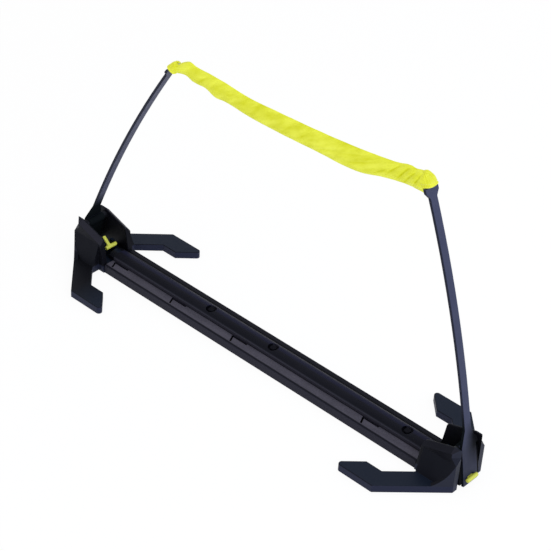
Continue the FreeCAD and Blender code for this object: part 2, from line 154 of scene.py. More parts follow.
def settle(piece):
    # the evaluated result becomes the piece's own plain mesh
    graph = bpy.context.evaluated_depsgraph_get()
    made = bpy.data.meshes.new_from_object(piece.evaluated_get(graph))
    old = piece.data
    piece.modifiers.clear()
    piece.data = made
    made.name = piece.name
    bpy.data.meshes.remove(old)


def thicken(piece, thickness):
    wall = piece.modifiers.new("wall", "SOLIDIFY")
    wall.thickness = thickness
    wall.offset = -1
    wall.use_even_offset = False
    settle(piece)


def dress(piece, material):
    piece.data.materials.clear()
    piece.data.materials.append(material)


# Moulded plastics: polypropylene with a satin spark-eroded skin, so soft wide highlights

# each finish's second colour serves both the random paler cloud and the painted edge highlight
mouldedFinish = {
    "rail": dict(color="#15151b", cloudAndEdgeHighlight="#23232b", roughness=0.42, specular=0.05, grainMm=0.7, bump=0.16),
    "bracket": dict(color="#0c0c11", cloudAndEdgeHighlight="#1f2029", roughness=0.44, specular=0.1, grainMm=0.9, bump=0.12),
    "spacer": dict(color="#0e0e11", cloudAndEdgeHighlight="#1d1d22", roughness=0.5, specular=0.12, grainMm=0.8, bump=0.1),
    "arm": dict(color="#3b3f57", cloudAndEdgeHighlight="#52566e", roughness=0.46, specular=0.16, grainMm=0.6, bump=0.1),
}
mouldedShared = {
    "cloudMm": 38.0, "cloudSpan": (0.3, 0.7), "cloudShare": 0.22,
    "flowMm": 6.0, "flowSpan": (0.25, 0.75), "roughSpread": (-0.06, 0.08),
    "edgeRoundMm": 0.7, "edgeTurn": 0.75, "edgeHighlightShare": 0.3,  # the painted edge highlight is full at this cosine of the two normals
    "grainDepthMm": 0.05, "ior": 1.49, "sheenTint": "#cfdcff",
}


def mouldedPlastic(name, finish):
    material, tree, shader = newMaterial(name)
    place = addNode(tree, "ShaderNodeTexCoord").outputs["Object"]
    cloud = addNode(tree, "ShaderNodeTexNoise", {
        "Vector": place, "Scale": perSize(mouldedShared["cloudMm"]), "Detail": 4.0})
    flow = addNode(tree, "ShaderNodeTexNoise", {
        "Vector": place, "Scale": perSize(mouldedShared["flowMm"]), "Detail": 6.0, "Roughness": 0.6})
    grain = addNode(tree, "ShaderNodeTexNoise", {
        "Vector": place, "Scale": perSize(finish["grainMm"]), "Detail": 3.0})
    # painted highlight: the colour turns paler where the rounded normal leaves the flat one, which happens
    # only along an edge
    rounded = addNode(tree, "ShaderNodeBevel", {"Radius": mouldedShared["edgeRoundMm"] * mm}, samples=6)
    flat = addNode(tree, "ShaderNodeNewGeometry").outputs["Normal"]
    facing = addNode(tree, "ShaderNodeVectorMath", {0: rounded.outputs[0], 1: flat},
                     operation="DOT_PRODUCT")
    edge = addNode(tree, "ShaderNodeMapRange", {
        "Value": facing.outputs["Value"], "From Min": 1.0, "From Max": mouldedShared["edgeTurn"],
        "To Min": 0.0, "To Max": mouldedShared["edgeHighlightShare"]})
    low, high = mouldedShared["cloudSpan"]
    tone = addNode(tree, "ShaderNodeMapRange", {
        "Value": cloud.outputs["Fac"], "From Min": low, "From Max": high,
        "To Min": 0.0, "To Max": mouldedShared["cloudShare"]})
    share = addNode(tree, "ShaderNodeMath", {0: tone.outputs[0], 1: edge.outputs[0]}, operation="ADD")
    color = addNode(tree, "ShaderNodeMix", {
        "Factor": share.outputs[0], "A": hexToLinear(finish["color"]), "B": hexToLinear(finish["cloudAndEdgeHighlight"])},
        data_type="RGBA")
    low, high = mouldedShared["flowSpan"]
    smoother, rougher = mouldedShared["roughSpread"]
    rough = addNode(tree, "ShaderNodeMapRange", {
        "Value": flow.outputs["Fac"], "From Min": low, "From Max": high,
        "To Min": finish["roughness"] + smoother, "To Max": finish["roughness"] + rougher})
    bump = addNode(tree, "ShaderNodeBump", {
        "Height": grain.outputs["Fac"], "Strength": finish["bump"],
        "Distance": mouldedShared["grainDepthMm"] * mm, "Normal": rounded.outputs[0]})
    tree.links.new(color.outputs["Result"], shader.inputs["Base Color"])
    tree.links.new(rough.outputs[0], shader.inputs["Roughness"])
    tree.links.new(bump.outputs[0], shader.inputs["Normal"])
    shader.inputs["IOR"].default_value = mouldedShared["ior"]
    shader.inputs["Specular IOR Level"].default_value = finish["specular"]
    shader.inputs["Specular Tint"].default_value = hexToLinear(mouldedShared["sheenTint"])
    return material, tree, shader, color, place


def readSurface(tree, place):
    # what a zone can ask of a point: its place in mm, the way it faces, and how far it faces out
    # from the rail's middle
    inMm = addNode(tree, "ShaderNodeVectorMath", {0: place, "Scale": 1 / mm}, operation="SCALE")
    spot = addNode(tree, "ShaderNodeSeparateXYZ", {0: inMm.outputs[0]}).outputs
    normal = addNode(tree, "ShaderNodeNewGeometry").outputs["Normal"]
    facing = addNode(tree, "ShaderNodeSeparateXYZ", {0: normal}).outputs
    side = addNode(tree, "ShaderNodeMath", {0: spot["X"]}, operation="SIGN")
    outward = addNode(tree, "ShaderNodeMath", {0: facing["X"], 1: side.outputs[0]}, operation="MULTIPLY")
    fromMiddle = addNode(tree, "ShaderNodeMath", {0: spot["Y"]}, operation="ABSOLUTE")
    return {"x": spot["X"], "y": spot["Y"], "z": spot["Z"], "fromMiddle": fromMiddle.outputs[0],
            "outward": outward.outputs[0], "facingX": facing["X"], "facingY": facing["Y"],
            "level": facing["Z"]}


def paintZones(tree, shader, color, readings, zones):
    # a zone is its colour, its gloss and its ramps, each from where the zone starts to where it is full
    gloss = shader.inputs["Specular IOR Level"].default_value
    for zoneColor, zoneGloss, ramps in zones.values():
        share = 1.0
        for reading, start, full in ramps:
            ramp = addNode(tree, "ShaderNodeMapRange", {
                "Value": readings[reading], "From Min": start, "From Max": full})
            share = addNode(tree, "ShaderNodeMath", {0: share, 1: ramp.outputs[0]},
                            operation="MULTIPLY").outputs[0]
        color = addNode(tree, "ShaderNodeMix", {"Factor": share, "A": color, "B": hexToLinear(zoneColor)},
                        data_type="RGBA").outputs["Result"]
        gloss = addNode(tree, "ShaderNodeMix", {
            "Factor": share, "A": gloss, "B": zoneGloss}).outputs["Result"]
    tree.links.new(color, shader.inputs["Base Color"])
    tree.links.new(gloss, shader.inputs["Specular IOR Level"])


def zonedPlastic(name, finish, zones):
    material, tree, shader, color, place = mouldedPlastic(name, finish)
    paintZones(tree, shader, color.outputs["Result"], readSurface(tree, place), zones)
    return material


# Rail: a strip along the front ledge is textured and pale. Painted light makes the front-facing walls paler
# and the spine's lower front wall paler still, a painted bluish highlight lies on the spine's crest and a
# fine painted highlight on its front shoulder, and painted shade darkens the slots, the round recesses and
# the rear ledge by the spine.
stripAcross = [("y", -21.2, -20.4), ("y", -9.0, -9.8)]
frontFacing = ("facingY", -0.5, -0.9)
railZones = {
    # painted light: front-facing walls paler
    "frontWallPaintedLight": ("#2a2934", 0.08, [frontFacing]),
    # painted light: the spine's lower front wall paler still
    "spineWallPaintedLight": ("#34333d", 0.05, [frontFacing, ("z", 11.6, 12.4)]),
    # painted highlight: bluish and less glossy along the crest
    "crestPaintedHighlight": ("#212234", 0.02, [("y", 1.0, 4.5), ("z", 15.5, 17.5)]),
    # painted shade in the round recesses
    "recessPaintedShade": ("#111117", 0.02, [("y", -2.4, -1.4), ("y", 7.6, 6.6), ("z", 17.7, 17.4)]),
    # painted shade along the rear ledge next to the spine
    "rearLedgePaintedShade": ("#08080b", 0.02, [("y", 20.5, 17.0), ("y", 9.0, 11.0), ("z", 14.0, 13.0)]),
    # painted shade in the slots: near black, with no gloss
    "slotPaintedShade": ("#08080a", 0.0, [*stripAcross, ("z", 11.0, 10.2)]),
    # painted highlight: a fine pale line along the spine's front shoulder
    "shoulderPaintedHighlight": ("#3a3a44", 0.05, [("y", -6.6, -8.6), ("z", 14.2, 14.9)]),
    "strip": ("#55525d", 0.08, [*stripAcross, ("z", 10.2, 11.0), ("mottle", -0.03, 1.3)]),
}
stripTexture = {"grainMm": 1.3, "streakMm": 9.0, "streakStretch": (0.25, 1.0, 1.0)}


def railPlastic():
    material, tree, shader, color, place = mouldedPlastic("satinBlackRailPlastic", mouldedFinish["rail"])
    speck = addNode(tree, "ShaderNodeTexNoise", {
        "Vector": place, "Scale": perSize(stripTexture["grainMm"]), "Detail": 2.0})
    stretched = addNode(tree, "ShaderNodeMapping", {
        "Vector": place, "Scale": stripTexture["streakStretch"]})
    streak = addNode(tree, "ShaderNodeTexNoise", {
        "Vector": stretched.outputs[0], "Scale": perSize(stripTexture["streakMm"]), "Detail": 4.0})
    mottled = addNode(tree, "ShaderNodeMath", {0: speck.outputs["Fac"], 1: streak.outputs["Fac"]},
                      operation="ADD")
    readings = readSurface(tree, place) | {"mottle": mottled.outputs[0]}
    paintZones(tree, shader, color.outputs["Result"], readings, railZones)
    return material


# Brackets: the cheeks are smooth and black. Painted light makes their outward ends, the feet's upright sides
# and upward tops paler and bluer, and the slanted upper strip paler where it turns to +X; painted shade keeps
# the left front foot's top the blackest
flatTop = ("level", 0.975, 0.995)
bracketZones = {
    # painted light: the slanted upper strip paler where it turns towards +X
    "paintedLitStrip": ("#2a2931", 0.1, [("level", 0.62, 0.67), ("level", 0.78, 0.73), ("facingX", -0.3, 0.2)]),
    # painted light: upward tops paler and bluer
    "footTopsPaintedLight": ("#151c29", 0.1, [flatTop]),
    # painted shade: the left front foot's top kept the blackest
    "leftFrontTopPaintedShade": ("#0d0d11", 0.08, [flatTop, ("x", -200, -240), ("y", -20, -30)]),
    # painted light: outward ends paler
    "ends": ("#2a2c38", 0.1, [("outward", 0.5, 0.7)]),
    # painted light: upright sides of the feet paler and bluer
    "footSidesPaintedLight": ("#292c3f", 0.1, [("level", 0.6, 0.2), ("z", 9.3, 8.3)]),
}


# Arms: painted shade darkens the lower part towards the root inside the bracket, the narrow front-facing
# edge, the inner faces near the root, the back of the heel and the block behind it; most of these have less
# gloss too
armZones = {
    # painted shade: darker and less glossy towards the bottom
    "lowerPaintedShade": ("#282b3d", 0.14, [("z", 80, 46)]),
    # painted shade on the front-facing edge
    "frontEdgePaintedShade": ("#1e202f", 0.16, [("facingY", -0.55, -0.8)]),
    # painted shade on the inner faces near the root, with no gloss
    "innerRootPaintedShade": ("#14181b", 0.0, [("outward", 0.4, 0.0), ("z", 96, 72)]),
    # painted shade on the back of the heel
    "heelRearPaintedShade": ("#080a10", 0.03, [("outward", 0.3, 0.6), ("y", -6, 8), ("z", 80, 60), ("z", 20, 46)]),
    # painted shade on the block behind the heel
    "heelBlockPaintedShade": ("#0a0b0f", 0.03, [("fromMiddle", 12.05, 12.3), ("z", 70, 60)]),
}


# Zinc-plated steel: bright, slightly cloudy, brushed round by turning

steelFinish = {"color": "#b9bcbf", "dull": "#8d9092", "roughness": 0.32, "roughSpread": (-0.08, 0.12),
               "cloudMm": 3.0, "scratchMm": 0.35, "turnStretch": (1.0, 0.1, 1.0)}


def zincSteel():
    material, tree, shader = newMaterial("zincPlatedSteel")
    place = addNode(tree, "ShaderNodeTexCoord").outputs["Object"]
    cloud = addNode(tree, "ShaderNodeTexNoise", {
        "Vector": place, "Scale": perSize(steelFinish["cloudMm"]), "Detail": 5.0})
    turned = addNode(tree, "ShaderNodeMapping", {"Vector": place, "Scale": steelFinish["turnStretch"]})
    scratch = addNode(tree, "ShaderNodeTexNoise", {
        "Vector": turned.outputs[0], "Scale": perSize(steelFinish["scratchMm"]), "Detail": 2.0})
    color = addNode(tree, "ShaderNodeMix", {
        "Factor": cloud.outputs["Fac"], "A": hexToLinear(steelFinish["color"]),
        "B": hexToLinear(steelFinish["dull"])}, data_type="RGBA")
    smoother, rougher = steelFinish["roughSpread"]
    rough = addNode(tree, "ShaderNodeMapRange", {
        "Value": scratch.outputs["Fac"], "To Min": steelFinish["roughness"] + smoother,
        "To Max": steelFinish["roughness"] + rougher})
    tree.links.new(color.outputs["Result"], shader.inputs["Base Color"])
    tree.links.new(rough.outputs[0], shader.inputs["Roughness"])
    shader.inputs["Metallic"].default_value = 1.0
    return material


# Strap rubber: moulded natural rubber in a flat yellow, faintly waxy

rubberFinish = {"color": "#e4e85e", "shade": "#cdd042", "roughness": 0.52, "ior": 1.52, "cloudMm": 5.0,
                "grainMm": 0.5, "grainDepthMm": 0.05, "bump": 0.15}


def strapRubber():
    material, tree, shader = newMaterial("mouldedYellowRubber")
    place = addNode(tree, "ShaderNodeTexCoord").outputs["Object"]
    cloud = addNode(tree, "ShaderNodeTexNoise", {
        "Vector": place, "Scale": perSize(rubberFinish["cloudMm"]), "Detail": 4.0})
    grain = addNode(tree, "ShaderNodeTexNoise", {
        "Vector": place, "Scale": perSize(rubberFinish["grainMm"]), "Detail": 2.0})
    color = addNode(tree, "ShaderNodeMix", {
        "Factor": cloud.outputs["Fac"], "A": hexToLinear(rubberFinish["color"]),
        "B": hexToLinear(rubberFinish["shade"])}, data_type="RGBA")
    bump = addNode(tree, "ShaderNodeBump", {
        "Height": grain.outputs["Fac"], "Strength": rubberFinish["bump"],
        "Distance": rubberFinish["grainDepthMm"] * mm})
    tree.links.new(color.outputs["Result"], shader.inputs["Base Color"])
    tree.links.new(bump.outputs[0], shader.inputs["Normal"])
    shader.inputs["Roughness"].default_value = rubberFinish["roughness"]
    shader.inputs["IOR"].default_value = rubberFinish["ior"]
    return material


# Woven cloths: warp and weft from the piece's own map, which is in metres of cloth.
# Real threads are about 0.3 mm apart; they are drawn coarser, so that the weave shows.

clothFinish = {
    "band": dict(name="brightYellowPolyester", color="#eef34a", shade="#dade26", threadMm=0.9, bump=0.22,
                 cloudMm=8.0, streakDeg=-32, streakLong=3.5, mottle=1.1, glow=0.24, creaseShade=1.6),
    # painted shade: the loops wear a darker copy of the band's cloth, as they face the light more
    "loop": dict(name="shadedLoopYellowPolyester", color="#e3e63a", shade="#d1d322", threadMm=0.9, bump=0.22,
                 cloudMm=9.0, mottle=0.7, glow=0.22, creaseShade=1.6),
    "hem": dict(name="turnedYellowHem", color="#eef04c", shade="#dfe22e", threadMm=0.8, bump=0.25,
                cloudMm=8.0, glow=0.2),
    "elastic": dict(name="wovenElastic", color="#d9d9d4", shade="#b7b7b0", threadMm=1.1, bump=0.5,
                    roughness=0.8, sheen=0.1, cloudMm=12.0, glow=0.0, creaseShade=0.5),
    "thread": dict(name="sewingThread", color="#eef08a", shade="#d8da5c", threadMm=0.5, bump=0.3,
                   roughness=0.6, sheen=0.1, cloudMm=2.0, glow=0.15),
}
# what a cloth has unless its own row says otherwise; spans are where a reading starts to count and is full
clothShared = {
    "roughness": 0.7, "sheen": 0.25, "specular": 0.25, "streakDeg": 0, "streakLong": 1.0,
    "mottle": 0.6, "mottleSpan": (0.35, 0.7), "creaseShade": 0.0, "creaseShadeSpan": (0.5, 0.42),
    "dipShare": 0.3, "threadDepthMm": 0.12,
}


def wovenCloth(kind):
    finish = clothShared | clothFinish[kind]
    material, tree, shader = newMaterial(finish["name"])
    coords = addNode(tree, "ShaderNodeTexCoord")
    lay = coords.outputs["UV"]
    waveScale = math.pi / (10 * finish["threadMm"] * mm)  # a wave texture repeats every pi / (10 x its scale)
    warp = addNode(tree, "ShaderNodeTexWave", {"Vector": lay, "Scale": waveScale}, bands_direction="X")
    weft = addNode(tree, "ShaderNodeTexWave", {"Vector": lay, "Scale": waveScale}, bands_direction="Y")
    weave = addNode(tree, "ShaderNodeMath", {0: warp.outputs["Fac"], 1: weft.outputs["Fac"]},
                    operation="MULTIPLY")
    streaks = addNode(tree, "ShaderNodeMapping", {
        "Vector": coords.outputs["Object"], "Rotation": (0, math.radians(finish["streakDeg"]), 0),
        "Scale": (finish["streakLong"], 1.0, 1.0)}, vector_type="TEXTURE")
    cloud = addNode(tree, "ShaderNodeTexNoise", {
        "Vector": streaks.outputs[0], "Scale": perSize(finish["cloudMm"]), "Detail": 3.0})
    low, high = finish["mottleSpan"]
    blotch = addNode(tree, "ShaderNodeMapRange", {
        "Value": cloud.outputs["Fac"], "From Min": low, "From Max": high,
        "To Min": 0.0, "To Max": finish["mottle"]})
    dip = addNode(tree, "ShaderNodeMapRange", {
        "Value": weave.outputs[0], "To Min": finish["dipShare"], "To Max": 0.0})
    # painted shade: where pointiness marks a fold's valley, the colour turns towards the deeper shade yellow
    point = addNode(tree, "ShaderNodeNewGeometry").outputs["Pointiness"]
    rim, deep = finish["creaseShadeSpan"]
    creaseShade = addNode(tree, "ShaderNodeMapRange", {
        "Value": point, "From Min": rim, "From Max": deep, "To Min": 0.0, "To Max": finish["creaseShade"]})
    patches = addNode(tree, "ShaderNodeMath", {0: blotch.outputs[0], 1: dip.outputs[0]}, operation="ADD")
    share = addNode(tree, "ShaderNodeMath", {0: patches.outputs[0], 1: creaseShade.outputs[0]}, operation="ADD")
    color = addNode(tree, "ShaderNodeMix", {
        "Factor": share.outputs[0], "A": hexToLinear(finish["color"]), "B": hexToLinear(finish["shade"])},
        data_type="RGBA", clamp_factor=False)
    bump = addNode(tree, "ShaderNodeBump", {
        "Height": weave.outputs[0], "Strength": finish["bump"],
        "Distance": finish["threadDepthMm"] * mm})
    tree.links.new(color.outputs["Result"], shader.inputs["Base Color"])
    tree.links.new(bump.outputs[0], shader.inputs["Normal"])
    shader.inputs["Roughness"].default_value = finish["roughness"]
    shader.inputs["Sheen Weight"].default_value = finish["sheen"]
    # painted light: an even glow in the cloth's own colour, the same under any lamp, so shaded folds stay
    # yellow
    tree.links.new(color.outputs["Result"], shader.inputs["Emission Color"])
    shader.inputs["Emission Strength"].default_value = finish["glow"]
    shader.inputs["Specular IOR Level"].default_value = finish["specular"]
    return material


railMaterial = railPlastic()
bracketMaterial = zonedPlastic("satinBlackBracketPlastic", mouldedFinish["bracket"], bracketZones)
spacerMaterial = mouldedPlastic("plainBlackSpacerPlastic", mouldedFinish["spacer"])[0]
armMaterial = zonedPlastic("slateArmPlastic", mouldedFinish["arm"], armZones)
steelMaterial = zincSteel()
rubberMaterial = strapRubber()
bandMaterial = wovenCloth("band")
loopMaterial = wovenCloth("loop")
hemMaterial = wovenCloth("hem")
elasticMaterial = wovenCloth("elastic")
threadMaterial = wovenCloth("thread")
print("materials made")

nodeMaterials = {
    "base_rail": railMaterial,
    "left_bracket": bracketMaterial, "right_bracket": bracketMaterial,
    "left_arm": armMaterial, "right_arm": armMaterial,
    "left_hinge_spacers": spacerMaterial, "right_hinge_spacers": spacerMaterial,
    "left_hinge_pin": steelMaterial, "right_hinge_pin": steelMaterial,
    "left_bracket_screws": steelMaterial, "right_bracket_screws": steelMaterial,
}
for nodeName, nodeMaterial in nodeMaterials.items():
    nodes[nodeName].data.materials.clear()
    nodes[nodeName].data.materials.append(nodeMaterial)


# Band sleeve: a sewn tube of cloth, pressed flat over its elastic and gathered along it.
# Its upper and lower edges are (share of the sleeve's length, height in mm over its lowest point).

sleeve = {
    "upperEdge": [(0.0, 19.0), (0.028, 25.8), (0.05, 29.2), (0.075, 27.6), (0.155, 27.1), (0.22, 25.8),
                  (0.291, 23.3), (0.428, 24.4), (0.668, 28.7), (0.816, 33.7), (0.901, 38.1), (0.947, 42.0),
                  (0.964, 41.2), (0.98, 42.4), (1.0, 43.4)],
    "lowerEdge": [(0.0, 8.9), (0.043, 10.3), (0.066, 7.3), (0.124, 6.8), (0.169, 1.9), (0.2, 2.8),
                  (0.319, 0.2), (0.432, -0.1), (0.61, 1.5), (0.705, 1.7), (0.773, 4.5), (0.845, 11.8),
                  (0.908, 16.6), (0.955, 19.1), (1.0, 20.7)],
    "halfDepthMm": 3.3, "endHalfDepthMm": (4.8, 8.2), "endShare": 0.05, "tuckMm": 4.0,
    "alongCount": 320, "roundCount": 60,
    "cutMm": (53.0, 395.0), "clothMm": 0.6,
    "pleatCount": 9, "pleatMm": 0.45, "pleatReachMm": 17.0,
    "rippleMm": 0.7, "rippleSizeMm": 17.0, "rippleLayers": (3.0, 9.0),  # one layer of the noise for each face
    "sidePower": 1.15, "foldFade": 0.5, "leastHalfMm": 0.9,
}
# creases that show in the photograph: share along, mm above the middle, slant, mm deep, wide and long
creases = {
    "front": [
        (0.115, 0.0, 38, 0.7, 3.2, 16), (0.155, -2.0, 55, 0.5, 3.0, 12), (0.2, 1.0, 40, 0.4, 3.6, 15),
        (0.262, 0.0, 48, 0.3, 4.0, 14), (0.335, -1.0, 42, 0.4, 4.2, 16), (0.41, 1.0, 50, 0.3, 4.2, 15),
        (0.478, 0.0, 40, 0.5, 3.4, 16), (0.535, -2.0, 36, 0.6, 3.2, 16), (0.588, 2.0, 30, 0.5, 3.4, 18),
        (0.652, -1.0, 24, 0.6, 3.2, 20), (0.715, 3.0, 14, 0.6, 2.8, 24), (0.752, -2.0, 20, 0.6, 2.8, 20),
        (0.8, 2.0, 18, 0.7, 2.6, 22), (0.848, -3.0, 28, 0.8, 2.8, 18), (0.885, 1.0, 40, 1.1, 2.6, 15),
        (0.922, 0.0, 48, 1.4, 2.5, 14), (0.952, 0.0, 52, 1.5, 2.4, 14), (0.982, 0.0, 58, 1.2, 2.4, 12),
    ],
    "back": [
        (0.14, 0.0, 130, 0.7, 3.4, 15), (0.25, 1.0, 125, 0.5, 4.0, 15), (0.37, -1.0, 140, 0.5, 3.8, 16),
        (0.49, 0.0, 128, 0.5, 4.0, 15), (0.61, 1.0, 142, 0.6, 3.4, 18), (0.72, -1.0, 150, 0.7, 3.0, 20),
        (0.83, 0.0, 135, 1.1, 3.0, 16), (0.91, 0.0, 128, 1.3, 2.8, 14), (0.96, 0.0, 122, 1.4, 2.6, 13),
    ],
}


def creaseHeight(side, shares, length, across):
    # each crease is a soft valley between two low ridges
    total = np.zeros_like(shares)
    for share, above, slant, deep, wide, reach in creases[side]:
        angle = math.radians(slant)
        da = (shares - share) * length
        dc = across - above * mm
        off = (da * math.sin(angle) - dc * math.cos(angle)) / (wide * mm)
        run = (da * math.cos(angle) + dc * math.sin(angle)) / (reach * mm)
        total -= deep * mm * (1 - 2 * off ** 2) * np.exp(-off ** 2 - run ** 2)
    return total


def sleeveGrid():
    low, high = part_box("band_sleeve")
    length = high.x - low.x
    count, around = sleeve["alongCount"], sleeve["roundCount"]
    tuck = sleeve["tuckMm"] * mm
    x = np.linspace(low.x - tuck, high.x + tuck, count)
    shares = np.clip((x - low.x) / length, 0, 1)
    top = low.z + smoothPath(sleeve["upperEdge"], shares) * mm
    bottom = low.z + smoothPath(sleeve["lowerEdge"], shares) * mm
    middle, half = (top + bottom) / 2, (top - bottom) / 2
    fromEnd = np.minimum(shares, 1 - shares)
    swell = np.exp(-(fromEnd / sleeve["endShare"]) ** 2)
    endDepth = np.where(shares < 0.5, *sleeve["endHalfDepthMm"])
    depth = (sleeve["halfDepthMm"] + (endDepth - sleeve["halfDepthMm"]) * swell) * mm
    gathers = np.exp(-fromEnd * length / (sleeve["pleatReachMm"] * mm)) * sleeve["pleatMm"] * mm
    size = sleeve["rippleSizeMm"] * mm
    frontLayer, backLayer = sleeve["rippleLayers"]
    grid = np.zeros((count, around, 3))
    for j in range(around):
        angle = 2 * math.pi * j / around
        across = half * math.sin(angle)
        side = math.copysign(abs(math.cos(angle)) ** sleeve["sidePower"], math.cos(angle))
        face, layer = ("front", frontLayer) if side < 0 else ("back", backLayer)
        creased = creaseHeight(face, shares, length, across)
        spots = zip(x / size, across / size)
        wander = np.array([noise.noise(Vector((a, b, layer))) for a, b in spots])
        pleat = gathers * math.cos(angle * sleeve["pleatCount"])
        lift = creased + wander * sleeve["rippleMm"] * mm + pleat
        puff = depth * abs(side) + abs(side) ** sleeve["foldFade"] * lift
        least = sleeve["leastHalfMm"] * mm * abs(side)
        grid[:, j, 0] = x
        grid[:, j, 1] = np.sign(side) * np.maximum(puff, least)
        grid[:, j, 2] = middle + across * (1 + pleat / half)
    return grid


def makeSleeve():
    wide, long = (v * mm for v in sleeve["cutMm"])
    piece = meshFromGrid("bandSleeve", sleeveGrid(), (long, wide), wrapColumns=True)
    thicken(piece, sleeve["clothMm"] * mm)
    dress(piece, bandMaterial)
    return piece


bandSleeve = makeSleeve()
print("sleeve made:", len(bandSleeve.data.polygons), "faces")


# Elastic inside the sleeve: a flat ribbed strip along the sleeve's middle

elastic = {"widthMm": 12.0, "thicknessMm": 1.2, "cutLengthMm": 350.0, "alongCount": 420,
           "ribMm": 2.4, "ribDepth": 0.12, "acrossShares": (-1, -0.5, 0, 0.5, 1)}


def makeElastic():
    low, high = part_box("band_elastic")
    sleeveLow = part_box("band_sleeve")[0].z
    shares = np.linspace(0, 1, elastic["alongCount"])
    x = low.x + (high.x - low.x) * shares
    middle = smoothPath(sleeve["upperEdge"], shares) + smoothPath(sleeve["lowerEdge"], shares)
    middle = sleeveLow + middle / 2 * mm
    turns = (x - low.x) / (elastic["ribMm"] * mm)
    rib = 1 - elastic["ribDepth"] * (1 + np.cos(2 * math.pi * turns)) / 2  # its share of the thickness
    half = elastic["widthMm"] / 2 * mm
    thick = elastic["thicknessMm"] / 2 * mm * rib
    across = elastic["acrossShares"]
    ring = [(a, -1) for a in across] + [(a, 1) for a in reversed(across)]
    grid = np.zeros((len(x), len(ring), 3))
    for j, (a, b) in enumerate(ring):
        grid[:, j, 0] = x
        grid[:, j, 1] = b * thick
        grid[:, j, 2] = middle + a * half
    roundBoth = 4 * half  # the map goes round both faces
    piece = meshFromGrid("bandElastic", grid, (high.x - low.x, roundBoth), wrapColumns=True)
    faceOutwards(piece.data, closeEnds=True)
    dress(piece, elasticMaterial)
    return piece


bandElastic = makeElastic()
print("elastic made")


# Band loops: the band's ends are sewn into hoods that are pulled over the heads of the arms.
# Reaches are from the neck's middle; the hem drops lower over the faces than over the shoulders.

hoods = {
    "left": dict(name="leftBandLoop", node="left_band_loop", outward=-1, leanDeg=-32.6,
                 outReachMm=4.4, inReachMm=6.2, frontMm=7.5, rearMm=7.5, frontHemMm=-1.2, rearHemMm=-1.2,
                 outDropMm=1.6, inDropMm=2.6, topMm=7.8, topShiftMm=0.6, domePower=4.2, rollMm=1.1,
                 lumpMm=0.6, lumpSizeMm=4.5, seed=2.0, cutMm=(16.0, 35.0), held="gathered"),
    "right": dict(name="rightBandLoop", node="right_band_loop", outward=1, leanDeg=20.0,
                  outReachMm=4.9, inReachMm=9.5, frontMm=8.5, rearMm=10.0, frontHemMm=-1.0, rearHemMm=-1.6,
                  outDropMm=0.4, inDropMm=1.0, topMm=13.4, topShiftMm=-4.4, domePower=2.2, rollMm=0.6,
                  lumpMm=1.5, lumpSizeMm=6.5, seed=5.0, cutMm=(17.5, 51.0), held="stretched"),
}
hoodShared = {"roundCount": 88, "riseCount": 30, "clothMm": 0.8, "rollSides": 10, "squareness": 0.8,
              "tuckCount": 11, "tuckMm": 0.2, "tuckTwist": 3.0, "crownGap": 0.02, "hemBulge": 0.25,
              "hemClothMm": 4.0}


def headFrame(hood):
    # the neck's middle, turned so that Z runs up the arm and X across its faces
    low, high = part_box(hood["node"])
    turn = Matrix.Rotation(math.radians(-hood["leanDeg"]), 4, "Y")
    return Matrix.Translation((low + high) / 2) @ turn


def squared(value):
    return math.copysign(abs(value) ** hoodShared["squareness"], value)


def hoodGrid(hood):
    count, rise = hoodShared["roundCount"], hoodShared["riseCount"]
    toFrame = headFrame(hood)
    grid = np.zeros((rise, count, 3))
    for i in range(rise):
        level = i / (rise - 1)
        close = max(math.cos(level * math.pi / 2), hoodShared["crownGap"]) ** (2 / hood["domePower"])
        climb = math.sin(level * math.pi / 2)
        loose = hoodShared["hemBulge"] + (1 - hoodShared["hemBulge"]) * level
        for j in range(count):
            turn = 2 * math.pi * j / count
            faceward, edgeward = math.cos(turn), math.sin(turn)  # to the arm's faces, and to its edges
            outside = faceward * hood["outward"] > 0
            reach = hood["outReachMm"] if outside else hood["inReachMm"]
            drop = hood["outDropMm"] if outside else hood["inDropMm"]
            wide = hood["frontMm"] if edgeward < 0 else hood["rearMm"]
            side = hood["frontHemMm"] if edgeward < 0 else hood["rearHemMm"]
            hem = side * abs(edgeward) + hood["rearHemMm"] * (1 - abs(edgeward)) - drop * faceward ** 2
            spot = Vector((squared(faceward) * reach * close + hood["topShiftMm"] * level,
                           squared(edgeward) * wide * close,
                           hem + (hood["topMm"] - hem) * climb))
            bulge = noise.noise(spot / hood["lumpSizeMm"] + Vector((0, 0, hood["seed"]))) * hood["lumpMm"]
            tuckTurn = turn * hoodShared["tuckCount"] + level * hoodShared["tuckTwist"]
            tuck = math.cos(tuckTurn) * hoodShared["tuckMm"] * math.sin(level * math.pi)
            spot += Vector((faceward, edgeward, level)) * (bulge * loose + tuck)
            grid[i, j] = toFrame @ (spot * mm)
    return grid


def rollGrid(ring, radius):
    # a thin round edge that follows the closed ring of points
    sides = hoodShared["rollSides"]
    middle = ring.mean(axis=0)
    along = np.roll(ring, -1, axis=0) - np.roll(ring, 1, axis=0)
    along /= np.linalg.norm(along, axis=1)[:, None]
    out = ring - middle
    out -= along * np.sum(out * along, axis=1)[:, None]
    out /= np.linalg.norm(out, axis=1)[:, None]
    up = np.cross(along, out)
    grid = np.zeros((len(ring), sides, 3))
    for j in range(sides):
        angle = 2 * math.pi * j / sides
        grid[:, j] = ring + radius * (math.cos(angle) * out + math.sin(angle) * up)
    return grid


def makeHood(hood):
    wide, long = (v * mm for v in hood["cutMm"])
    grid = hoodGrid(hood)
    piece = meshFromGrid(hood["name"], grid, (wide, long), wrapColumns=True)
    thicken(piece, hoodShared["clothMm"] * mm)
    dress(piece, loopMaterial)
    roll = meshFromGrid(hood["name"] + "Hem", rollGrid(grid[0], hood["rollMm"] * mm),
                        (long, hoodShared["hemClothMm"] * mm), wrapRows=True, wrapColumns=True)
    dress(roll, hemMaterial)
    return piece, roll, grid


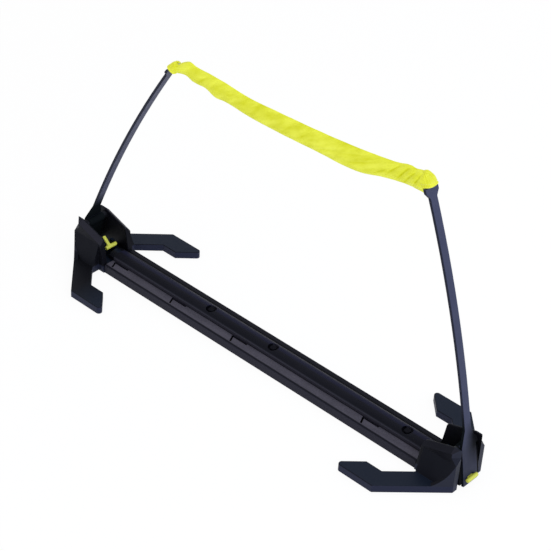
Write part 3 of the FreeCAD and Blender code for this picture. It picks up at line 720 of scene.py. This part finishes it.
leftBandLoop, leftHem, leftGrid = makeHood(hoods["left"])
rightBandLoop, rightHem, rightGrid = makeHood(hoods["right"])
print("band loops made")


# Return straps: one rubber moulding with a bar through the bracket, a pull tab and a bar behind the heel

strap = {
    "widthMm": 9.0, "thicknessMm": 3.8, "neckMm": 3.2,
    "innerBarMm": (5.0, 17.2), "outerBarMm": (4.8, 17.5),
    "tabMm": (13.0, 4.6, 3.4), "tabAngleDeg": 42.0, "tabShiftMm": (0.0, -2.4, 0.0),
    "heelDepthMm": 17.9, "seatGapMm": 3.0, "barSides": 20, "voxelMm": 0.5, "smoothTurns": 6,
}
strapEnds = {
    "left": dict(node="left_return_strap", body="left_arm", hinge="left_arm_hinge", side=-1,
                 heelMm=(-21.8, 0.0, -35.2), heelAngleDeg=19.6, seatMm=(0.0, 0.0, 0.0)),
    "right": dict(node="right_return_strap", body="right_arm", hinge="right_arm_hinge", side=1,
                  heelMm=(16.0, 0.0, -36.5), heelAngleDeg=9.9, seatMm=(2.6, 0.0, -1.8)),
}


def alongPlace(start, end):
    # halfway between two points, turned so that Z runs from one to the other
    along = end - start
    turn = along.to_track_quat("Z", "Y").to_matrix().to_4x4()
    return Matrix.Translation((start + end) / 2) @ turn, along.length


def addBar(work, middle, sizeMm):
    # a round bar across the strap, of a diameter and a length
    radius = sizeMm[0] / 2 * mm
    half = Vector((0, 0.5 * mm, 0)) * sizeMm[1]
    place, length = alongPlace(middle - half, middle + half)
    bmesh.ops.create_cone(work, cap_ends=True, segments=strap["barSides"], radius1=radius, radius2=radius,
                          depth=length, matrix=place)


def addFlat(work, start, end, widthMm, thicknessMm):
    place, length = alongPlace(start, end)
    size = Matrix.Diagonal((widthMm * mm, thicknessMm * mm, length + thicknessMm * mm, 1))
    bmesh.ops.create_cube(work, size=1, matrix=place @ size)


def wayOut(side, degrees):
    # outwards at that end of the rail, rising by an angle
    angle = math.radians(degrees)
    return Vector((side * math.cos(angle), 0, math.sin(angle)))


def makeStrap(name, end):
    low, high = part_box(end["node"])
    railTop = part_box("base_rail")[1].z
    inner = low.x if end["side"] > 0 else high.x
    innerRadius = strap["innerBarMm"][0] / 2 * mm
    seat = Vector((inner + end["side"] * innerRadius, 0, railTop + strap["seatGapMm"] * mm))
    anchor = seat + Vector(end["seatMm"]) * mm
    heelOut = Vector(joints[end["hinge"]]["pos_m"]) + Vector(end["heelMm"]) * mm
    heelIn = heelOut - wayOut(end["side"], end["heelAngleDeg"]) * strap["heelDepthMm"] * mm
    tabLong, tabWide, tabThick = strap["tabMm"]
    tabRoot = anchor + Vector(strap["tabShiftMm"]) * mm
    tabTip = tabRoot + wayOut(end["side"], strap["tabAngleDeg"]) * tabLong * mm
    work = bmesh.new()
    addBar(work, anchor, strap["innerBarMm"])
    addBar(work, heelOut, strap["outerBarMm"])
    addFlat(work, anchor, heelIn, strap["widthMm"], strap["thicknessMm"])
    addFlat(work, heelIn, heelOut, strap["widthMm"], strap["neckMm"])
    addFlat(work, tabRoot, tabTip, tabWide, tabThick)
    mesh = bpy.data.meshes.new(name)
    work.to_mesh(mesh)
    work.free()
    piece = addObject(name, mesh)
    skin = piece.modifiers.new("skin", "REMESH")
    skin.mode = "VOXEL"
    skin.voxel_size = strap["voxelMm"] * mm
    soft = piece.modifiers.new("soft", "SMOOTH")
    soft.iterations = strap["smoothTurns"]
    settle(piece)
    piece.data.shade_smooth()
    dress(piece, rubberMaterial)
    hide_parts(end["node"])
    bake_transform(piece)


for strapSide, strapEnd in strapEnds.items():
    makeStrap(strapSide + "ReturnStrap", strapEnd)
print("straps made")


# Stitches: one row of small threads along a line, made by a node tree

stitch = {"lengthMm": 2.0, "thickMm": 0.5, "pitchMm": 2.9, "segments": 8, "rings": 5}


def stitchTree():
    tree = bpy.data.node_groups.new("stitchRow", "GeometryNodeTree")
    face = tree.interface
    face.new_socket("Geometry", in_out="INPUT", socket_type="NodeSocketGeometry")
    for name in ("Pitch", "Length", "Thickness"):
        face.new_socket(name, in_out="INPUT", socket_type="NodeSocketFloat")
    face.new_socket("Thread", in_out="INPUT", socket_type="NodeSocketMaterial")
    face.new_socket("Geometry", in_out="OUTPUT", socket_type="NodeSocketGeometry")
    given = addNode(tree, "NodeGroupInput").outputs
    line = addNode(tree, "GeometryNodeMeshToCurve", {"Mesh": given["Geometry"]})
    spots = addNode(tree, "GeometryNodeResampleCurve", {"Curve": line.outputs[0], "Length": given["Pitch"]},
                    mode="LENGTH")
    tangent = addNode(tree, "GeometryNodeInputTangent")
    turn = addNode(tree, "FunctionNodeAlignRotationToVector", {"Vector": tangent.outputs[0]}, axis="X")
    size = addNode(tree, "ShaderNodeCombineXYZ", {
        "X": given["Length"], "Y": given["Thickness"], "Z": given["Thickness"]})
    bead = addNode(tree, "GeometryNodeMeshUVSphere", {
        "Segments": stitch["segments"], "Rings": stitch["rings"], "Radius": 0.5})  # one across, then scaled
    rows = addNode(tree, "GeometryNodeInstanceOnPoints", {
        "Points": spots.outputs[0], "Instance": bead.outputs[0], "Rotation": turn.outputs[0],
        "Scale": size.outputs[0]})
    real = addNode(tree, "GeometryNodeRealizeInstances", {0: rows.outputs[0]})
    done = addNode(tree, "GeometryNodeSetMaterial", {
        "Geometry": real.outputs[0], "Material": given["Thread"]})
    addNode(tree, "NodeGroupOutput", {0: done.outputs[0]})
    return tree


stitchRow = stitchTree()


def sewRow(name, points, closed=False):
    mesh = bpy.data.meshes.new(name)
    edges = [(k, k + 1) for k in range(len(points) - 1)]
    if closed:
        edges.append((len(points) - 1, 0))
    mesh.from_pydata([tuple(p) for p in points], edges, [])
    piece = addObject(name, mesh)
    row = piece.modifiers.new("stitches", "NODES")
    row.node_group = stitchRow
    values = {"Pitch": stitch["pitchMm"] * mm, "Length": stitch["lengthMm"] * mm,
              "Thickness": stitch["thickMm"] * mm, "Thread": threadMaterial}
    for socket in stitchRow.interface.items_tree:
        if socket.in_out == "INPUT" and socket.name in values:
            row[socket.identifier] = values[socket.name]
    settle(piece)
    return piece


seam = {"hemLevel": 4, "backColumn": 5, "endRows": 10, "liftMm": 0.1}


def hoodRow(grid):
    # a ring of points on a hood's outside, a little above its hem
    ring = grid[seam["hemLevel"]]
    out = ring - ring.mean(axis=0)
    return ring + out / np.linalg.norm(out, axis=1)[:, None] * seam["liftMm"] * mm


def sleeveRow():
    # the long seam of the tube, on its back near the lower edge
    around, count = sleeve["roundCount"], sleeve["alongCount"]
    column = around - seam["backColumn"]
    verts = bandSleeve.data.vertices
    lift = Vector((0, seam["liftMm"] * mm, 0))
    return [verts[i * around + column].co + lift for i in range(seam["endRows"], count - seam["endRows"])]


rightStitches = sewRow("rightLoopStitches", hoodRow(rightGrid), closed=True)
leftStitches = sewRow("leftLoopStitches", hoodRow(leftGrid), closed=True)
sleeveStitches = sewRow("sleeveSeamStitches", sleeveRow())
print("stitches sewn")


# What rides on what. The band hangs between two arms and rides on a body of its own.

for piece in (bandSleeve, bandElastic, sleeveStitches):
    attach(piece, "band")
    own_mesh(piece)
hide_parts("band_sleeve")
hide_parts("band_elastic")
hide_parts("left_band_loop")
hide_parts("right_band_loop")
for piece in (leftBandLoop, leftHem, leftStitches):
    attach(piece, "left_arm")
for piece in (rightBandLoop, rightHem, rightStitches):
    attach(piece, "right_arm")


print("pieces attached")


# Studio: pale floor, white surroundings, soft light, and the camera where the photograph was taken

studio = {
    "floorSize": 30.0, "floorColor": "#f6f6f6", "floorRoughness": 0.9, "floorDrop": 0.0003,
    "floorGlow": 0.9, "floorLevel": 1.03, "worldLevel": 0.5,
    "lamps": {
        "rightKey": dict(place=(1.9, -0.4, 1.2), size=1.4, power=15.0, color="#e4edff"),
        "frontFill": dict(place=(-0.3, -2.4, 0.9), size=1.8, power=8.0, color="#ffffff"),
        "rearRim": dict(place=(1.6, 1.6, 0.8), size=0.9, power=7.0, color="#e4e4ff"),
        "topSoft": dict(place=(-0.2, 0.9, 2.4), size=2.0, power=11.0, color="#eef3ff"),
    },
    "aim": (0.0, 0.0, 0.15),
}
viewpoint = {"place": (1.0438, -1.2033, 1.2771), "azimuth": 40.673, "elevation": 36.081, "roll": 3.627,
             "lens": 114.06, "sensor": 36.0, "shift": (0.0009, -0.0004), "clip": (0.05, 60.0)}


def seenDirectly(tree):
    # one where the eye sees the surface, straight, mirrored or through glass, and zero for its light
    path = addNode(tree, "ShaderNodeLightPath").outputs
    seen = path["Is Camera Ray"]
    for ray in ("Is Glossy Ray", "Is Transmission Ray"):
        seen = addNode(tree, "ShaderNodeMath", {0: seen, 1: path[ray]}, operation="MAXIMUM").outputs[0]
    return seen


def makeFloor():
    half = studio["floorSize"] / 2
    mesh = bpy.data.meshes.new("floor")
    z = -studio["floorDrop"]
    corners = [(-half, -half, z), (half, -half, z), (half, half, z), (-half, half, z)]
    mesh.from_pydata(corners, [], [(0, 1, 2, 3)])
    floor = addObject("floor", mesh)
    material, tree, shader = newMaterial("paleStudioFloor")
    shader.inputs["Base Color"].default_value = hexToLinear(studio["floorColor"])
    shader.inputs["Roughness"].default_value = studio["floorRoughness"]
    shader.inputs["Specular IOR Level"].default_value = 0.0
    glow = addNode(tree, "ShaderNodeEmission", {"Strength": studio["floorLevel"]})
    share = addNode(tree, "ShaderNodeMath", {0: seenDirectly(tree), 1: studio["floorGlow"]},
                    operation="MULTIPLY")
    mix = addNode(tree, "ShaderNodeMixShader", {
        0: share.outputs[0], 1: shader.outputs[0], 2: glow.outputs[0]})
    tree.links.new(mix.outputs[0], tree.nodes["Material Output"].inputs["Surface"])
    mesh.materials.append(material)


def makeWorld():
    world = bpy.data.worlds.new("whiteStudio")
    bpy.context.scene.world = world
    world.use_nodes = True
    tree = world.node_tree
    level = addNode(tree, "ShaderNodeMapRange", {
        "Value": seenDirectly(tree), "To Min": studio["worldLevel"], "To Max": 1.0})
    tree.links.new(level.outputs[0], tree.nodes["Background"].inputs["Strength"])
    tree.nodes["Background"].inputs["Color"].default_value = (1, 1, 1, 1)


def makeLamps():
    for name, lamp in studio["lamps"].items():
        light = bpy.data.lights.new(name, "AREA")
        light.shape = "DISK"
        light.size = lamp["size"]
        light.energy = lamp["power"]
        light.color = hexToLinear(lamp["color"])[:3]
        holder = addObject(name, light)
        holder.location = lamp["place"]
        away = Vector(lamp["place"]) - Vector(studio["aim"])
        holder.rotation_euler = away.to_track_quat("Z", "Y").to_euler()


def makeCamera():
    camera = bpy.data.cameras.new("photoView")
    camera.lens = viewpoint["lens"]
    camera.sensor_width = viewpoint["sensor"]
    camera.shift_x, camera.shift_y = viewpoint["shift"]
    camera.clip_start, camera.clip_end = viewpoint["clip"]
    holder = addObject("photoView", camera)
    az, el = math.radians(viewpoint["azimuth"]), math.radians(viewpoint["elevation"])
    ahead = Vector((-math.sin(az) * math.cos(el), math.cos(az) * math.cos(el), -math.sin(el)))
    right = Vector((math.cos(az), math.sin(az), 0))
    up = right.cross(ahead)
    roll = math.radians(viewpoint["roll"])
    tiltedRight = right * math.cos(roll) + up * math.sin(roll)
    tiltedUp = up * math.cos(roll) - right * math.sin(roll)
    turn = Matrix((tiltedRight, tiltedUp, -ahead)).transposed().to_4x4()
    holder.matrix_world = Matrix.Translation(viewpoint["place"]) @ turn
    bpy.context.scene.camera = holder


makeFloor()
makeWorld()
makeLamps()
makeCamera()
bpy.context.scene.view_settings.view_transform = "Standard"
print("studio ready")
